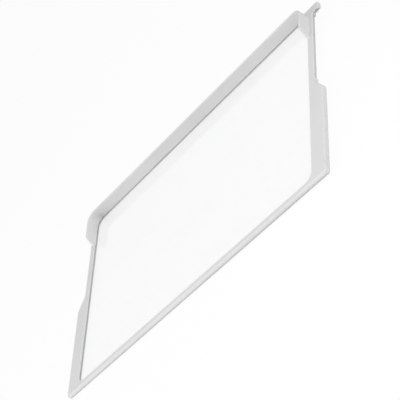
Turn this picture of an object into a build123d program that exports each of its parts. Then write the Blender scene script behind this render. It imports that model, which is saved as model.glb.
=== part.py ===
# Fridge glass shelf: a toughened glass pane held all round in a one-piece moulded plastic frame.
# Millimetres, +Z up. X runs across the shelf, -Y is its front edge and +Y its rear edge.
# The origin is the middle of the footprint, on the plane of the frame's underside.
import os
from math import radians, tan

from build123d import *

# Clear glass inside the frame
sight_width = 456.0
sight_depth = 290.0
sight_radius = 12.0

# Pane, and how the frame's groove holds it
glass_thickness = 4.0
glass_bite = 4.5
glass_seam = 0.6
groove_clearance = 0.3

# Frame around the glass: plastic over and under the pane, and the rim's width on each side
lip_thickness = 1.5
sole_thickness = 1.5
lip_round = 0.5
front_rim = 8.2
rear_rim = 8.0
side_rim = 9.5
edge_round = 1.2
rear_corner_radius = 6.0
undercut_angle = 28.0

# Wide side flanges at the front, and the ramps that lead to the narrow rails
flange_reach = 13.5
flange_length = 144.0
flange_corner_radius = 6.0
ramp_run = 19.0
ramp_radius = 14.0

# Lugs at the rear corners
lug_reach = 10.4
lug_depth = 13.2
lug_lift = 1.7
lug_tip_radius = 3.0
lug_root_radius = 1.5

# Upstand along the rear edge, with a wing on each side
upstand_height = 14.5
upstand_base = 3.2
upstand_top = 2.6
upstand_round = 0.9
upstand_corner_radius = 10.5
wing_length = 49.0
wing_slope_run = 9.0
wing_top_radius = 5.0

# Ribbed cores under the flanges
flange_skin = 2.2
core_wall = 2.0
rib_thickness = 1.6
rib_pitch = 24.0

# Sizes and places that follow
rim_height = sole_thickness + glass_thickness + lip_thickness
overall_depth = front_rim + sight_depth + rear_rim
front_y = -overall_depth / 2
rear_y = overall_depth / 2
sight_x = sight_width / 2
sight_rear_y = rear_y - rear_rim
sight_middle_y = sight_rear_y - sight_depth / 2
rail_x = sight_x + side_rim
flange_x = rail_x + flange_reach
ramp_front_y = front_y + flange_length
ramp_rear_y = ramp_front_y + ramp_run

nose_radius = rim_height / 2
nose_middle_y = front_y + nose_radius
plan_front_y = front_y - nose_radius / 2

lug_x = rail_x + lug_reach
lug_front_y = rear_y - lug_depth
lug_thickness = rim_height - lug_lift
undercut_top_z = rim_height - edge_round
rail_undercut = undercut_top_z * tan(radians(undercut_angle))
lug_undercut = (undercut_top_z - lug_lift) * tan(radians(undercut_angle))
rail_front_y = ramp_rear_y + ramp_radius / 2
rail_rear_y = lug_front_y - lug_root_radius

upstand_top_z = rim_height + upstand_height
upstand_sink = lip_thickness / 2
upstand_base_z = rim_height - upstand_sink
wing_foot_y = sight_rear_y - wing_length
wing_top_y = wing_foot_y + wing_slope_run

core_depth = rim_height - flange_skin
core_inner_x = sight_x + glass_bite + groove_clearance + core_wall
core_front_y = nose_middle_y + core_wall
core_rear_y = ramp_front_y + ramp_run / 2
core_length = core_rear_y - core_front_y
rib_count = int(core_length // rib_pitch)


def opening_outline(level, growth, corner_radius):
    """Outline of the clear opening at a level, grown outwards all round."""
    with BuildSketch(Plane.XY.offset(level)) as outline:
        with Locations((0, sight_middle_y)):
            RectangleRounded(
                sight_width + 2 * growth,
                sight_depth + 2 * growth,
                corner_radius + growth,
            )
    return outline.sketch


# Pane of toughened glass with seamed edges
with BuildPart() as glass_pane:
    extrude(opening_outline(sole_thickness, glass_bite, sight_radius), amount=glass_thickness)
    chamfer(glass_pane.faces().filter_by(Axis.Z).edges(), glass_seam)

# Upstand of the frame: a wall on the edge of the clear glass, whose corners tighten towards the top
with BuildPart() as upstand:
    outer_foot = opening_outline(upstand_base_z, upstand_base, sight_radius)
    outer_top = opening_outline(upstand_top_z, upstand_top, upstand_corner_radius)
    loft([outer_foot, outer_top], ruled=True)
    inner_foot = opening_outline(upstand_base_z, 0, sight_radius)
    inner_top = opening_outline(upstand_top_z, 0, upstand_corner_radius)
    loft([inner_foot, inner_top], ruled=True, mode=Mode.SUBTRACT)

    # The wings slope down to the rails at their front ends
    with BuildSketch(Plane.YZ) as wing_side:
        with BuildLine():
            Polyline(
                (wing_foot_y, upstand_base_z),
                (wing_foot_y, rim_height),
                (wing_top_y, upstand_top_z),
                (rear_y, upstand_top_z),
                (rear_y, upstand_base_z),
                close=True,
            )
        make_face()
        wing_corner = wing_side.vertices().group_by(Axis.Y)[-1].sort_by(Axis.X)[0]
        fillet(wing_corner, wing_top_radius)
    extrude(amount=flange_x, both=True, mode=Mode.INTERSECT)

    # Both long edges are soft along the top and down the slopes of the wings
    top_edges = upstand.faces().sort_by(Axis.Z)[-1].edges().filter_by(Axis.X)
    fillet(top_edges.sort_by(SortBy.LENGTH)[-2:], upstand_round)

# One-piece moulded frame
with BuildPart() as shelf_frame:
    # Outline seen from above: wide flanges in front, ramps, then narrow rails
    with BuildSketch() as frame_plan:
        with BuildLine():
            Polyline(
                (-flange_x, plan_front_y),
                (flange_x, plan_front_y),
                (flange_x, ramp_front_y),
                (rail_x, ramp_rear_y),
                (rail_x, rear_y),
                (-rail_x, rear_y),
                (-rail_x, ramp_rear_y),
                (-flange_x, ramp_front_y),
                close=True,
            )
        make_face()
        corners = frame_plan.vertices().group_by(Axis.Y)
        fillet(corners[1] + corners[2], ramp_radius)
        fillet(frame_plan.vertices().group_by(Axis.Y)[0], flange_corner_radius)
        fillet(frame_plan.vertices().group_by(Axis.Y)[-1], rear_corner_radius)
    extrude(amount=rim_height)

    # The front edge is a full bullnose
    with BuildSketch(Plane.YZ):
        with BuildLine():
            ThreePointArc((nose_middle_y, 0), (front_y, nose_radius), (nose_middle_y, rim_height))
            Polyline(
                (nose_middle_y, rim_height),
                (rear_y + rear_rim, rim_height),
                (rear_y + rear_rim, 0),
                (nose_middle_y, 0),
            )
        make_face()
    extrude(amount=2 * flange_x, both=True, mode=Mode.INTERSECT)

    # Lugs at both ends of the rear edge
    with BuildSketch(Plane.XY.offset(lug_lift)) as lug_plan:
        with Locations((0, rear_y)):
            Rectangle(2 * lug_x, lug_depth, align=(Align.CENTER, Align.MAX))
        fillet(lug_plan.vertices(), lug_tip_radius)
    extrude(amount=lug_thickness)
    upright_edges = shelf_frame.edges().filter_by(Axis.Z)
    left_root = upright_edges.sort_by_distance((-rail_x, lug_front_y, rim_height))[0]
    right_root = upright_edges.sort_by_distance((rail_x, lug_front_y, rim_height))[0]
    fillet([left_root, right_root], lug_root_radius)

    # One soft edge runs along the top, round the front corners and back along the underside
    rear_edges = shelf_frame.edges().filter_by(Axis.X).group_by(Axis.Y)[-1]
    fillet(rear_edges.sort_by(Axis.Z)[-1], edge_round)

    # Below their soft edge, the outer walls of the rails and the front walls of the lugs lean inwards
    with BuildSketch(Plane.XZ.offset(-rail_rear_y)):
        with BuildLine():
            Polyline(
                (rail_x, undercut_top_z),
                (rail_x - rail_undercut, 0),
                (lug_x, 0),
                (lug_x, undercut_top_z),
                close=True,
            )
        make_face()
        mirror(about=Plane.YZ)
    extrude(amount=rail_rear_y - rail_front_y, mode=Mode.SUBTRACT)
    for side in (-1, 1):
        with BuildSketch(Plane.YZ.offset(side * (rail_x + lug_root_radius))):
            with BuildLine():
                Polyline(
                    (lug_front_y, undercut_top_z),
                    (lug_front_y + lug_undercut, lug_lift),
                    (lug_front_y - lug_undercut, lug_lift),
                    (lug_front_y - lug_undercut, undercut_top_z),
                    close=True,
                )
            make_face()
        extrude(amount=side * lug_reach, mode=Mode.SUBTRACT)

    # Clear opening, with a soft edge above and below
    extrude(opening_outline(0, 0, sight_radius), amount=rim_height, mode=Mode.SUBTRACT)
    level_faces = shelf_frame.faces().filter_by(Axis.Z).sort_by(Axis.Z)
    lip_edges = level_faces[-1].inner_wires()[0].edges()
    sole_edges = level_faces[0].inner_wires()[0].edges()
    fillet(lip_edges + sole_edges, lip_round)

    add(upstand.part)

    # Groove that grips the edge of the pane
    groove = opening_outline(sole_thickness, glass_bite + groove_clearance, sight_radius)
    extrude(groove, amount=glass_thickness, mode=Mode.SUBTRACT)

    # The flanges are cored out from below, with ribs across
    with BuildSketch() as cores:
        add(frame_plan.sketch)
        offset(amount=-core_wall, mode=Mode.REPLACE)
        Rectangle(2 * core_inner_x, 2 * overall_depth, mode=Mode.SUBTRACT)
        with Locations((0, core_front_y)):
            Rectangle(2 * flange_x, overall_depth, align=(Align.CENTER, Align.MAX), mode=Mode.SUBTRACT)
        with Locations((0, core_rear_y)):
            Rectangle(2 * flange_x, overall_depth, align=(Align.CENTER, Align.MIN), mode=Mode.SUBTRACT)
        with Locations((0, core_front_y + core_length / 2)):
            with GridLocations(0, rib_pitch, 1, rib_count):
                Rectangle(2 * flange_x, rib_thickness, mode=Mode.SUBTRACT)
    extrude(amount=core_depth, mode=Mode.SUBTRACT)

os.makedirs("parts", exist_ok=True)
glass_pane.part.label = "glass_pane"
export_step(glass_pane.part, "parts/glass_pane.step")
shelf_frame.part.label = "shelf_frame"
export_step(shelf_frame.part, "parts/shelf_frame.step")
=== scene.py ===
# Fridge glass shelf: finishes, glass, floor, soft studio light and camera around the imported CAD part.
# Metres, in the CAD frame: X across the shelf, -Y its front edge, +Z up, the underside on z = 0.
import math

import bmesh
import bpy
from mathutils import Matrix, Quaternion, Vector


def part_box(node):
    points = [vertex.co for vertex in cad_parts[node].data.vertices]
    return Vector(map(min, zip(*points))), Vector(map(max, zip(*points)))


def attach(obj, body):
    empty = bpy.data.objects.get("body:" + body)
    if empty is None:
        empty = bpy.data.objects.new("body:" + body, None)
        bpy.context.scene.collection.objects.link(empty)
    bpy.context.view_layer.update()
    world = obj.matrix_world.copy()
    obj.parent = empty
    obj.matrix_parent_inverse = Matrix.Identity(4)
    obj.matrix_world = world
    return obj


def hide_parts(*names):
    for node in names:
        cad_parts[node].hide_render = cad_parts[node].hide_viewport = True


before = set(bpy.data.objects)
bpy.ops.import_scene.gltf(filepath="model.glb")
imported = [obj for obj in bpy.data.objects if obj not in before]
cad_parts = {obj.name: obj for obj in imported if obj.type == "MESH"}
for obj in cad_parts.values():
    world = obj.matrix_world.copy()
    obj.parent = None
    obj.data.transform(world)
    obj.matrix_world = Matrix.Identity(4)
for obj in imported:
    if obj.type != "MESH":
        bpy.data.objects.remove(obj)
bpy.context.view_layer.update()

# Camera, from the perspective of the photograph's straight edges
CAMERA_PLACE = (1.0314, -1.2781, 0.7094)
CAMERA_AIM = (0.02042, -0.0125, 0.0070)
CAMERA_ROLL = math.radians(-60.623)
CAMERA_LENS = 129.89
CAMERA_NEAR = 0.01
CAMERA_FAR = 50.0
SENSOR_WIDTH = 36.0

# Pane: its corners, its seamed edges, the hair of air round it, and the rise under which an edge is level
PANE_CORNER = 0.0165
PANE_CORNER_STEPS = 24
PANE_SEAM = 0.0006
PANE_AIR = 0.00004
PANE_SMOOTH_ANGLE = math.radians(25.0)
LEVEL_RISE = 0.0005

# Mould grain on the plastic, and the slow drift of its tone
GRAIN_FINENESS = 2600.0
GRAIN_DETAIL = 3.0
GRAIN_ROUGHNESS = 0.62
GRAIN_SPAN = (0.30, 0.70)
GRAIN_STRENGTH = 0.05
GRAIN_HEIGHT = 0.0001
DRIFT_SCALE = 9.0
DRIFT_DETAIL = 2.0
DRIFT_ROUGHNESS = 0.45
DRIFT_SPAN = (0.32, 0.68)

# Haze left by wiping, in long slanted strokes, and a few specks of dust in patches
WIPE_TURN = math.radians(24.0)
WIPE_STRETCH = (5.0, 24.0, 12.0)
WIPE_DETAIL = 4.0
WIPE_ROUGHNESS = 0.55
WIPE_WANDER = 0.6
WIPE_SPAN = (0.46, 0.78)
SPECK_CELLS = 170.0
SPECK_SIZE = (0.05, 0.09)
SPECK_PATCH_SCALE = 60.0
SPECK_PATCH_SPAN = (0.60, 0.70)

# Edges that are worn smooth by rubbing, in broken stretches, and given a lighter tone there as a painted
# highlight
EDGE_RUB_HIGHLIGHT_REACH = 0.0016
EDGE_RUB_HIGHLIGHT_SAMPLES = 4
EDGE_RUB_HIGHLIGHT_TURN = (0.80, 0.995)
EDGE_RUB_HIGHLIGHT_BREAK_SCALE = 75.0
EDGE_RUB_HIGHLIGHT_BREAK_DETAIL = 3.0
EDGE_RUB_HIGHLIGHT_BREAK_SPAN = (0.35, 0.65)
EDGE_RUB_HIGHLIGHT_LEAST = 0.35

# White moulded plastic
PLASTIC_WHITE = (0.705, 0.706, 0.703, 1.0)
PLASTIC_SHADE = (0.675, 0.676, 0.671, 1.0)
# Lighter tone on the edges: a painted highlight, not a colour of the plastic
PLASTIC_EDGE_HIGHLIGHT = (0.722, 0.723, 0.720, 1.0)
PLASTIC_IOR = 1.49
PLASTIC_ROUGHNESS = (0.40, 0.52)
PLASTIC_RUBBED = -0.10
PLASTIC_WIPED = 0.08
PLASTIC_MARKS = 0.6
DUST_TONE = (0.76, 0.755, 0.74, 1.0)

# Clear toughened glass
GLASS_IOR = 1.52
GLASS_CLEAN = (0.999, 1.0, 1.0, 1.0)
GLASS_SMEAR = (0.988, 0.992, 0.991, 1.0)
GLASS_DEPTH_TONE = (0.72, 0.93, 0.85, 1.0)
GLASS_DEPTH_DENSITY = 6.0
GLASS_VEIL = 0.035
GLASS_DUST = 0.25
ROLLER_SCALE = 7.0
ROLLER_STRENGTH = 0.03
ROLLER_HEIGHT = 0.0004

# Studio: what shows as white, what the glass mirrors, and how much light the floor throws back
WHITE = (1.0, 1.0, 1.0, 1.0)
FLOOR_SEEN = (0.90, 0.90, 0.90, 1.0)
FLOOR_RETURN = (0.45, 0.45, 0.45, 1.0)
FLOOR_GLOW = 0.90
FLOOR_SIDE = 8.0
FLOOR_GAP = 0.0004
BACKDROP_LEVEL = 0.97
MIRRORED_LEVEL = 0.76
SKY_RIGHT = 1.81
SKY_LEFT = 1.49
SOFTBOX_SIDE = 0.8
LEFT_SOFTBOX_PLACE = (-0.96, -0.96, 0.36)
LEFT_SOFTBOX_WATTS = 5.9
RIGHT_SOFTBOX_PLACE = (0.74, -0.74, 0.94)
RIGHT_SOFTBOX_WATTS = 6.5

# Ranges that a mask is spread over, and the sockets of a colour mix node
RISING = (0.0, 1.0)
FALLING = (1.0, 0.0)
MIX_SHARE = 0
MIX_FIRST = 6
MIX_SECOND = 7
MIX_RESULT = 2


def add_node(tree, kind, place, **settings):
    """Adds a node to a tree at a place on its sheet, with the given settings."""
    node = tree.nodes.new(kind)
    node.location = place
    for name, value in settings.items():
        setattr(node, name, value)
    return node


def join(tree, source, output, target, socket):
    """Links one node's output to another node's input."""
    tree.links.new(source.outputs[output], target.inputs[socket])


def new_group(name, inputs, outputs):
    """Starts a shader node group with named sockets, and gives its entry and exit nodes."""
    group = bpy.data.node_groups.new(name, "ShaderNodeTree")
    for label, kind, value in inputs:
        socket = group.interface.new_socket(label, in_out="INPUT", socket_type=kind)
        if value is not None:
            socket.default_value = value
    for label, kind in outputs:
        group.interface.new_socket(label, in_out="OUTPUT", socket_type=kind)
    entry = add_node(group, "NodeGroupInput", (-900, 0))
    leave = add_node(group, "NodeGroupOutput", (700, 0))
    return group, entry, leave


def noise(tree, place, scale, detail=1.0, roughness=0.5):
    """A noise texture in three dimensions."""
    node = add_node(tree, "ShaderNodeTexNoise", place)
    node.inputs["Scale"].default_value = scale
    node.inputs["Detail"].default_value = detail
    node.inputs["Roughness"].default_value = roughness
    return node


def remap(tree, place, span, onto=RISING):
    """Spreads the values of a span softly over another range."""
    node = add_node(tree, "ShaderNodeMapRange", place, interpolation_type="SMOOTHSTEP")
    limits = ("From Min", "From Max", "To Min", "To Max")
    for label, value in zip(limits, span + onto):
        node.inputs[label].default_value = value
    return node


def sum_step(tree, place, operation, second=0.0):
    """A step of arithmetic, with a second value for where nothing is linked to it."""
    node = add_node(tree, "ShaderNodeMath", place, operation=operation)
    for socket, value in zip(node.inputs, (0.0, second, 0.0)):
        socket.default_value = value
    return node


def mix_tone(tree, place, share, first, second):
    """Mixes two tones by a share; a tone is a colour, or the colour output of another node."""
    node = add_node(tree, "ShaderNodeMix", place, data_type="RGBA")
    tree.links.new(share, node.inputs[MIX_SHARE])
    for socket, tone in ((node.inputs[MIX_FIRST], first), (node.inputs[MIX_SECOND], second)):
        if isinstance(tone, tuple):
            socket.default_value = tone
        else:
            tree.links.new(tone, socket)
    return node.outputs[MIX_RESULT]


def mix_shaders(tree, place, share, first, second, out):
    """Mixes two shaders by a share, and sends the result to the output node."""
    node = add_node(tree, "ShaderNodeMixShader", place)
    join(tree, share, "Value", node, 0)
    tree.links.new(first.outputs[0], node.inputs[1])
    tree.links.new(second.outputs[0], node.inputs[2])
    join(tree, node, "Shader", out, "Surface")


def moulded_grain_group():
    """Fine spark-eroded grain of a mould, and the slow drift of tone of thin moulded plastic."""
    group, entry, leave = new_group(
        "moulded_grain",
        [("Vector", "NodeSocketVector", None), ("Fineness", "NodeSocketFloat", GRAIN_FINENESS)],
        [("Height", "NodeSocketFloat"), ("Drift", "NodeSocketFloat")],
    )
    fine = noise(group, (-400, 200), GRAIN_FINENESS, GRAIN_DETAIL, GRAIN_ROUGHNESS)
    join(group, entry, "Vector", fine, "Vector")
    join(group, entry, "Fineness", fine, "Scale")
    even = remap(group, (-150, 200), GRAIN_SPAN)
    join(group, fine, "Fac", even, "Value")
    join(group, even, "Result", leave, "Height")
    slow = noise(group, (-400, -150), DRIFT_SCALE, DRIFT_DETAIL, DRIFT_ROUGHNESS)
    join(group, entry, "Vector", slow, "Vector")
    spread = remap(group, (-150, -150), DRIFT_SPAN)
    join(group, slow, "Fac", spread, "Value")
    join(group, spread, "Result", leave, "Drift")
    return group


def handling_marks_group():
    """Wiped haze and a few dust specks, as on a clean shelf that has been handled."""
    group, entry, leave = new_group(
        "handling_marks",
        [("Vector", "NodeSocketVector", None), ("Amount", "NodeSocketFloat", 1.0)],
        [("Haze", "NodeSocketFloat"), ("Specks", "NodeSocketFloat")],
    )
    stretch = add_node(group, "ShaderNodeMapping", (-700, 200))
    stretch.inputs["Rotation"].default_value = (0.0, 0.0, WIPE_TURN)
    stretch.inputs["Scale"].default_value = WIPE_STRETCH
    join(group, entry, "Vector", stretch, "Vector")
    wipes = noise(group, (-450, 200), 1.0, WIPE_DETAIL, WIPE_ROUGHNESS)
    wipes.inputs["Distortion"].default_value = WIPE_WANDER
    join(group, stretch, "Vector", wipes, "Vector")
    soft = remap(group, (-200, 200), WIPE_SPAN)
    join(group, wipes, "Fac", soft, "Value")
    haze = sum_step(group, (100, 200), "MULTIPLY")
    join(group, soft, "Result", haze, 0)
    join(group, entry, "Amount", haze, 1)
    join(group, haze, "Value", leave, "Haze")
    cells = add_node(group, "ShaderNodeTexVoronoi", (-450, -200))
    cells.inputs["Scale"].default_value = SPECK_CELLS
    join(group, entry, "Vector", cells, "Vector")
    dots = remap(group, (-200, -200), SPECK_SIZE, onto=FALLING)
    join(group, cells, "Distance", dots, "Value")
    patch = noise(group, (-450, -450), SPECK_PATCH_SCALE)
    join(group, entry, "Vector", patch, "Vector")
    sparse = remap(group, (-200, -450), SPECK_PATCH_SPAN)
    join(group, patch, "Fac", sparse, "Value")
    few = sum_step(group, (100, -250), "MULTIPLY")
    join(group, dots, "Result", few, 0)
    join(group, sparse, "Result", few, 1)
    specks = sum_step(group, (350, -250), "MULTIPLY")
    join(group, few, "Value", specks, 0)
    join(group, entry, "Amount", specks, 1)
    join(group, specks, "Value", leave, "Specks")
    return group


def rubbed_and_highlit_edge_group():
    """Mask of the outer edges, where hands and rails polish the grain away, and where a lighter tone is
    painted on as a highlight.
    """
    group, entry, leave = new_group(
        "rubbed_and_highlit_edge",
        [("Vector", "NodeSocketVector", None), ("Reach", "NodeSocketFloat", EDGE_RUB_HIGHLIGHT_REACH)],
        [("Mask", "NodeSocketFloat")],
    )
    rounded = add_node(group, "ShaderNodeBevel", (-650, 150), samples=EDGE_RUB_HIGHLIGHT_SAMPLES)
    join(group, entry, "Reach", rounded, "Radius")
    facing = add_node(group, "ShaderNodeNewGeometry", (-650, -50))
    turn = add_node(group, "ShaderNodeVectorMath", (-400, 100), operation="DOT_PRODUCT")
    join(group, rounded, "Normal", turn, 0)
    join(group, facing, "Normal", turn, 1)
    edge = remap(group, (-150, 100), EDGE_RUB_HIGHLIGHT_TURN, onto=FALLING)
    join(group, turn, "Value", edge, "Value")
    worn = noise(group, (-400, -250), EDGE_RUB_HIGHLIGHT_BREAK_SCALE, EDGE_RUB_HIGHLIGHT_BREAK_DETAIL)
    join(group, entry, "Vector", worn, "Vector")
    broken = remap(group, (-150, -250), EDGE_RUB_HIGHLIGHT_BREAK_SPAN, onto=(EDGE_RUB_HIGHLIGHT_LEAST, 1.0))
    join(group, worn, "Fac", broken, "Value")
    mask = sum_step(group, (200, 0), "MULTIPLY")
    join(group, edge, "Result", mask, 0)
    join(group, broken, "Result", mask, 1)
    join(group, mask, "Value", leave, "Mask")
    return group


def new_material(name):
    """An empty node material, with its output node."""
    material = bpy.data.materials.new(name)
    material.use_nodes = True
    tree = material.node_tree
    tree.nodes.clear()
    out = add_node(tree, "ShaderNodeOutputMaterial", (900, 0))
    return material, tree, out


def place_group(tree, group, place, where):
    """Places a shared group in a material, on the object's own coordinates."""
    node = add_node(tree, "ShaderNodeGroup", place, node_tree=group)
    join(tree, where, "Object", node, "Vector")
    return node


def moulded_white_plastic(grain, marks, edge_rub_and_highlight):
    """White moulded plastic: fine mould grain, slow drift of tone, edges worn smoother by rubbing and
    lighter as a painted highlight, a little dust.
    """
    material, tree, out = new_material("moulded_white_plastic")
    where = add_node(tree, "ShaderNodeTexCoord", (-1200, 0))
    shader = add_node(tree, "ShaderNodeBsdfPrincipled", (550, 0))
    shader.inputs["IOR"].default_value = PLASTIC_IOR
    join(tree, shader, "BSDF", out, "Surface")
    grain_node = place_group(tree, grain, (-900, 300), where)
    marks_node = place_group(tree, marks, (-900, 0), where)
    marks_node.inputs["Amount"].default_value = PLASTIC_MARKS
    edge_node = place_group(tree, edge_rub_and_highlight, (-900, -300), where)

    body = mix_tone(tree, (-550, 350), grain_node.outputs["Drift"], PLASTIC_WHITE, PLASTIC_SHADE)
    # Painted highlight: the edges are mixed towards a lighter tone of the plastic
    edge_highlit = mix_tone(tree, (-250, 300), edge_node.outputs["Mask"], body, PLASTIC_EDGE_HIGHLIGHT)
    dusted = mix_tone(tree, (50, 250), marks_node.outputs["Specks"], edge_highlit, DUST_TONE)
    tree.links.new(dusted, shader.inputs["Base Color"])

    matt = remap(tree, (-550, -50), RISING, onto=PLASTIC_ROUGHNESS)
    join(tree, grain_node, "Drift", matt, "Value")
    smooth = sum_step(tree, (-250, -100), "MULTIPLY_ADD", PLASTIC_RUBBED)
    join(tree, edge_node, "Mask", smooth, 0)
    join(tree, matt, "Result", smooth, 2)
    wiped = sum_step(tree, (50, -100), "MULTIPLY_ADD", PLASTIC_WIPED)
    join(tree, marks_node, "Haze", wiped, 0)
    join(tree, smooth, "Value", wiped, 2)
    join(tree, wiped, "Value", shader, "Roughness")

    relief = add_node(tree, "ShaderNodeBump", (250, -350))
    relief.inputs["Strength"].default_value = GRAIN_STRENGTH
    relief.inputs["Distance"].default_value = GRAIN_HEIGHT
    join(tree, grain_node, "Height", relief, "Height")
    join(tree, relief, "Normal", shader, "Normal")
    return material


def clear_toughened_glass(marks):
    """Clear float glass: faint green in its depth, wiped haze and specks, and a slight roller wave."""
    material, tree, out = new_material("clear_toughened_glass")
    where = add_node(tree, "ShaderNodeTexCoord", (-1200, 0))
    shader = add_node(tree, "ShaderNodeBsdfPrincipled", (550, 0))
    shader.inputs["IOR"].default_value = GLASS_IOR
    shader.inputs["Transmission Weight"].default_value = 1.0
    join(tree, shader, "BSDF", out, "Surface")
    depth = add_node(tree, "ShaderNodeVolumeAbsorption", (550, -450))
    depth.inputs["Color"].default_value = GLASS_DEPTH_TONE
    depth.inputs["Density"].default_value = GLASS_DEPTH_DENSITY
    join(tree, depth, "Volume", out, "Volume")
    marks_node = place_group(tree, marks, (-700, 100), where)

    tint = mix_tone(tree, (-300, 250), marks_node.outputs["Haze"], GLASS_CLEAN, GLASS_SMEAR)
    tree.links.new(tint, shader.inputs["Base Color"])

    veil = remap(tree, (-300, -50), RISING, onto=(0.0, GLASS_VEIL))
    join(tree, marks_node, "Haze", veil, "Value")
    dust = sum_step(tree, (0, -50), "MULTIPLY_ADD", GLASS_DUST)
    join(tree, marks_node, "Specks", dust, 0)
    join(tree, veil, "Result", dust, 2)
    join(tree, dust, "Value", shader, "Roughness")

    roller = noise(tree, (-700, -350), ROLLER_SCALE)
    join(tree, where, "Object", roller, "Vector")
    wave = add_node(tree, "ShaderNodeBump", (250, -300))
    wave.inputs["Strength"].default_value = ROLLER_STRENGTH
    wave.inputs["Distance"].default_value = ROLLER_HEIGHT
    join(tree, roller, "Fac", wave, "Height")
    join(tree, wave, "Normal", shader, "Normal")
    return material


def seen_rays(tree, place):
    """One for a ray straight from the camera, off a gloss or through the glass, and zero for others."""
    path = add_node(tree, "ShaderNodeLightPath", place)
    direct = sum_step(tree, (place[0] + 200, place[1]), "MAXIMUM")
    join(tree, path, "Is Camera Ray", direct, 0)
    join(tree, path, "Is Glossy Ray", direct, 1)
    seen = sum_step(tree, (place[0] + 400, place[1]), "MAXIMUM")
    join(tree, direct, "Value", seen, 0)
    join(tree, path, "Is Transmission Ray", seen, 1)
    return seen


def white_paper_floor():
    """White paper that shows near white, keeps the shelf's shadow and throws back part of the light."""
    material, tree, out = new_material("white_paper_floor")
    # The glow is for the eye and is no lamp, so no light is sampled from it
    material.cycles.emission_sampling = "NONE"
    seen = seen_rays(tree, (-900, 300))
    paper = add_node(tree, "ShaderNodeBsdfDiffuse", (200, 100))
    tone = mix_tone(tree, (-100, 100), seen.outputs["Value"], FLOOR_RETURN, FLOOR_SEEN)
    tree.links.new(tone, paper.inputs["Color"])
    glow = add_node(tree, "ShaderNodeEmission", (200, -100))
    glow.inputs["Color"].default_value = WHITE
    share = sum_step(tree, (0, 300), "MULTIPLY", FLOOR_GLOW)
    join(tree, seen, "Value", share, 0)
    mix_shaders(tree, (500, 0), share, paper, glow, out)
    return material


def select_edges(piece, fits):
    """In edit mode, selects just the edges whose two ends fit a rule."""
    bpy.ops.mesh.select_mode(type="EDGE")
    bpy.ops.mesh.select_all(action="DESELECT")
    shape = bmesh.from_edit_mesh(piece.data)
    for edge in shape.edges:
        edge.select_set(fits(edge.verts[0].co, edge.verts[1].co))
    bmesh.update_edit_mesh(piece.data)


def cut_glass_pane(material):
    """A plate with rounded corners and seamed edges, a hair clear of its groove, that casts no shadow."""
    low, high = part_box("glass_pane")
    low.z += PANE_AIR
    high.z -= PANE_AIR
    bpy.ops.object.select_all(action="DESELECT")
    bpy.ops.mesh.primitive_cube_add(size=1.0, location=(low + high) / 2, scale=high - low)
    pane = bpy.context.object
    pane.name = "clear_glass_pane"
    bpy.ops.object.transform_apply(location=True, rotation=True, scale=True)
    bpy.ops.object.mode_set(mode="EDIT")
    select_edges(pane, lambda start, end: abs(start.z - end.z) > LEVEL_RISE)
    bpy.ops.mesh.bevel(offset=PANE_CORNER, segments=PANE_CORNER_STEPS, affect="EDGES")
    select_edges(pane, lambda start, end: abs(start.z - end.z) < LEVEL_RISE)
    bpy.ops.mesh.bevel(offset=PANE_SEAM, segments=1, affect="EDGES")
    bpy.ops.object.mode_set(mode="OBJECT")
    bpy.ops.object.shade_smooth_by_angle(angle=PANE_SMOOTH_ANGLE)
    pane.data.materials.append(material)
    pane.visible_shadow = False
    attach(pane, "root")
    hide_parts("glass_pane")


def dress(node_name, material):
    """Gives a CAD node its finish in place of the plain one."""
    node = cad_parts[node_name]
    node.data.materials.clear()
    node.data.materials.append(material)


def lay_floor():
    """Lays a flat sheet of paper just under the shelf."""
    bpy.ops.object.select_all(action="DESELECT")
    bpy.ops.mesh.primitive_plane_add(size=FLOOR_SIDE, location=(0.0, 0.0, -FLOOR_GAP))
    floor = bpy.context.object
    floor.name = "studio_floor"
    floor.data.materials.append(white_paper_floor())


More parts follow.
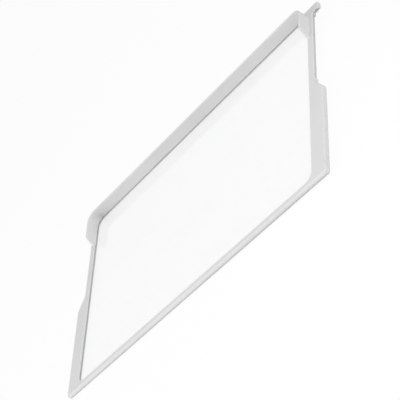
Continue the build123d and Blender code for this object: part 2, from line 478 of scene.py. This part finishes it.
def light_sky():
    """Soft light that grows towards both sides, seen as a pale backdrop, a little greyer in mirrors."""
    world = bpy.data.worlds.new("soft_studio")
    bpy.context.scene.world = world
    world.use_nodes = True
    tree = world.node_tree
    tree.nodes.clear()
    out = add_node(tree, "ShaderNodeOutputWorld", (600, 0))
    way = add_node(tree, "ShaderNodeTexCoord", (-700, -200))
    parts = add_node(tree, "ShaderNodeSeparateXYZ", (-500, -200))
    join(tree, way, "Generated", parts, "Vector")
    right = sum_step(tree, (-300, -100), "MULTIPLY", SKY_RIGHT)
    join(tree, parts, "X", right, 0)
    left = sum_step(tree, (-300, -300), "MULTIPLY", -SKY_LEFT)
    join(tree, parts, "X", left, 0)
    level = sum_step(tree, (-100, -200), "MAXIMUM")
    join(tree, right, "Value", level, 0)
    join(tree, left, "Value", level, 1)
    light = add_node(tree, "ShaderNodeBackground", (100, 100))
    light.inputs["Color"].default_value = WHITE
    join(tree, level, "Value", light, "Strength")

    backdrop = add_node(tree, "ShaderNodeBackground", (100, -100))
    backdrop.inputs["Color"].default_value = WHITE
    path = add_node(tree, "ShaderNodeLightPath", (-500, -450))
    straight = sum_step(tree, (-300, -450), "MAXIMUM")
    join(tree, path, "Is Camera Ray", straight, 0)
    join(tree, path, "Is Transmission Ray", straight, 1)
    shown = remap(tree, (-100, -450), RISING, onto=(MIRRORED_LEVEL, BACKDROP_LEVEL))
    join(tree, straight, "Value", shown, "Value")
    join(tree, shown, "Result", backdrop, "Strength")
    mix_shaders(tree, (350, 0), seen_rays(tree, (-700, 300)), light, backdrop, out)


def hang_softbox(name, place, watts):
    """A square softbox aimed at the middle of the shelf, and kept out of the glass's reflections."""
    bpy.ops.object.select_all(action="DESELECT")
    bpy.ops.object.light_add(type="AREA", location=place)
    box = bpy.context.object
    box.name = name
    box.data.shape = "SQUARE"
    box.data.size = SOFTBOX_SIDE
    box.data.energy = watts
    box.visible_glossy = False
    box.visible_transmission = False
    box.rotation_mode = "QUATERNION"
    box.rotation_quaternion = (-Vector(place)).to_track_quat("-Z", "Y")


def set_camera():
    """Places the camera where the photograph was taken from."""
    bpy.ops.object.select_all(action="DESELECT")
    bpy.ops.object.camera_add(location=CAMERA_PLACE)
    camera = bpy.context.object
    camera.name = "photo_camera"
    camera.data.sensor_fit = "HORIZONTAL"
    camera.data.sensor_width = SENSOR_WIDTH
    camera.data.lens = CAMERA_LENS
    camera.data.clip_start = CAMERA_NEAR
    camera.data.clip_end = CAMERA_FAR
    look = (Vector(CAMERA_AIM) - Vector(CAMERA_PLACE)).to_track_quat("-Z", "Y")
    camera.rotation_mode = "QUATERNION"
    camera.rotation_quaternion = look @ Quaternion((0.0, 0.0, 1.0), CAMERA_ROLL)
    bpy.context.scene.camera = camera


grain = moulded_grain_group()
marks = handling_marks_group()
edge_rub_and_highlight = rubbed_and_highlit_edge_group()
dress("shelf_frame", moulded_white_plastic(grain, marks, edge_rub_and_highlight))
cut_glass_pane(clear_toughened_glass(marks))
lay_floor()
light_sky()
hang_softbox("left_front_softbox", LEFT_SOFTBOX_PLACE, LEFT_SOFTBOX_WATTS)
hang_softbox("right_front_softbox", RIGHT_SOFTBOX_PLACE, RIGHT_SOFTBOX_WATTS)
set_camera()
bpy.context.scene.view_settings.view_transform = "Standard"
